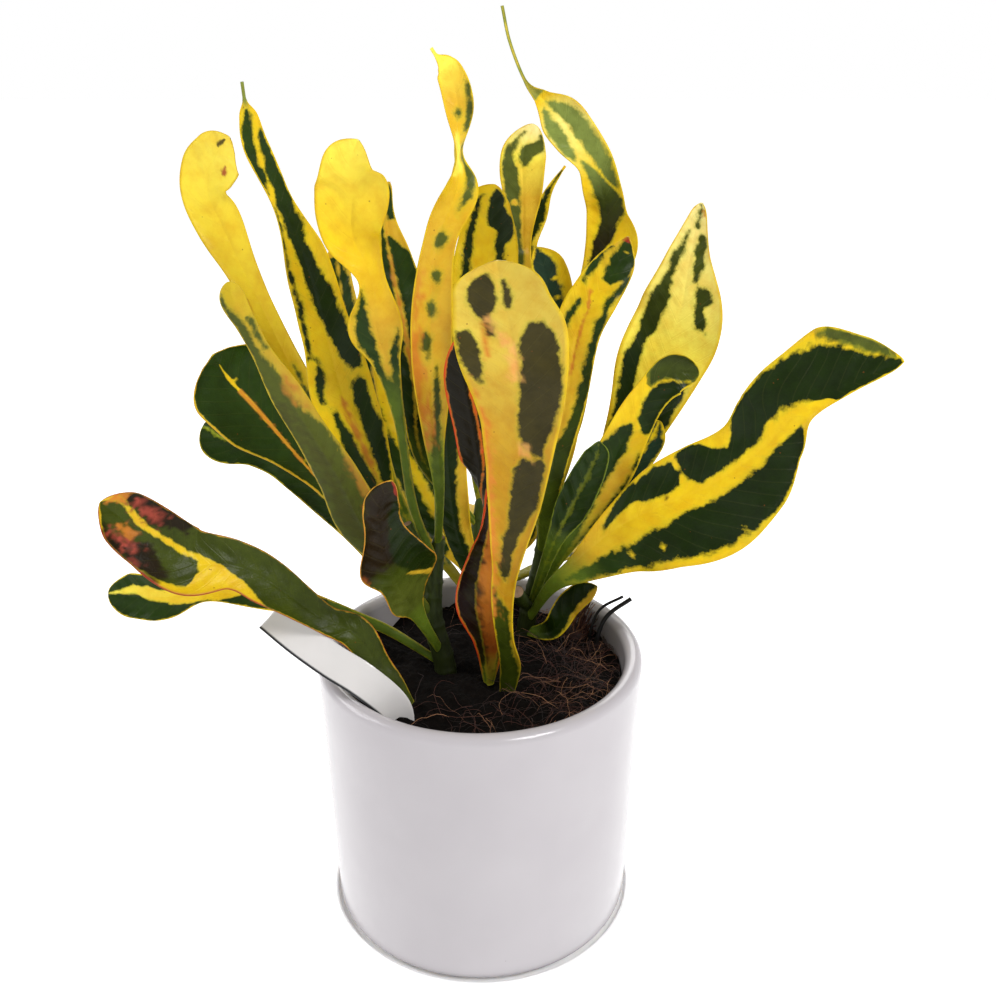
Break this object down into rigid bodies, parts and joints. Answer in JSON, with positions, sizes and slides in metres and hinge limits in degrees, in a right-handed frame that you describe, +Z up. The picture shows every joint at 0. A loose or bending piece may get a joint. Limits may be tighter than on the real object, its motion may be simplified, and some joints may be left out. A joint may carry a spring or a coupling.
{
  "type": "potted croton",
  "caption": "House plant with twisted yellow and dark-green strap leaves in a round white glazed pot on a thin saucer, with a blank plant label.",
  "frame": {"origin": "centre of the saucer's flat underside", "axes": "+Z up along the pot's axis, +Y away from the viewer, +X to the viewer's right"},
  "size_m": [0.3017, 0.1773, 0.3549],
  "materials": {
    "glaze": "glossy white glaze",
    "soil": "damp peat with coir fibres",
    "root": "matted fine roots",
    "stem": "satin green bark",
    "leaf": "glossy, yellow and dark green",
    "label": "glossy white",
    "wire": "black sheath"
  },
  "bodies": {
    "root": {"saucer": "glaze", "pot": "glaze", "stem_left": "stem", "stem_right": "stem", "stem_middle": "stem", "leaf_hook_left": "leaf", "leaf_tall_left": "leaf", "leaf_flame": "leaf", "leaf_dark_behind_flame": "leaf", "leaf_small_dark_left": "leaf", "leaf_spotted_tall": "leaf", "leaf_olive_hook": "leaf", "leaf_round_left": "leaf", "leaf_wavy_low_left": "leaf", "leaf_over_rim": "leaf", "leaf_under_rim_leaf": "leaf", "leaf_small_brown": "leaf", "leaf_front": "leaf", "leaf_red_edged": "leaf", "leaf_blotched_behind": "leaf", "leaf_pale_behind": "leaf", "leaf_narrow_behind": "leaf", "leaf_dark_yellow_edge": "leaf", "leaf_dark_centre": "leaf", "leaf_spiral": "leaf", "leaf_red_tipped": "leaf", "leaf_yellow_right": "leaf", "leaf_curled_tip": "leaf", "leaf_dark_right": "leaf", "leaf_big_right": "leaf", "leaf_below_big": "leaf", "leaf_green_centre": "leaf", "leaf_back_left": "leaf", "leaf_back_middle": "leaf", "leaf_back_right": "leaf", "leaf_back_low": "leaf", "leaf_back_low_left": "leaf", "leaf_back_low_right": "leaf", "soil": "soil", "root_tuft": "root", "label": "label", "wire_thin": "wire", "wire_thick": "wire"}
  },
  "joints": []
}
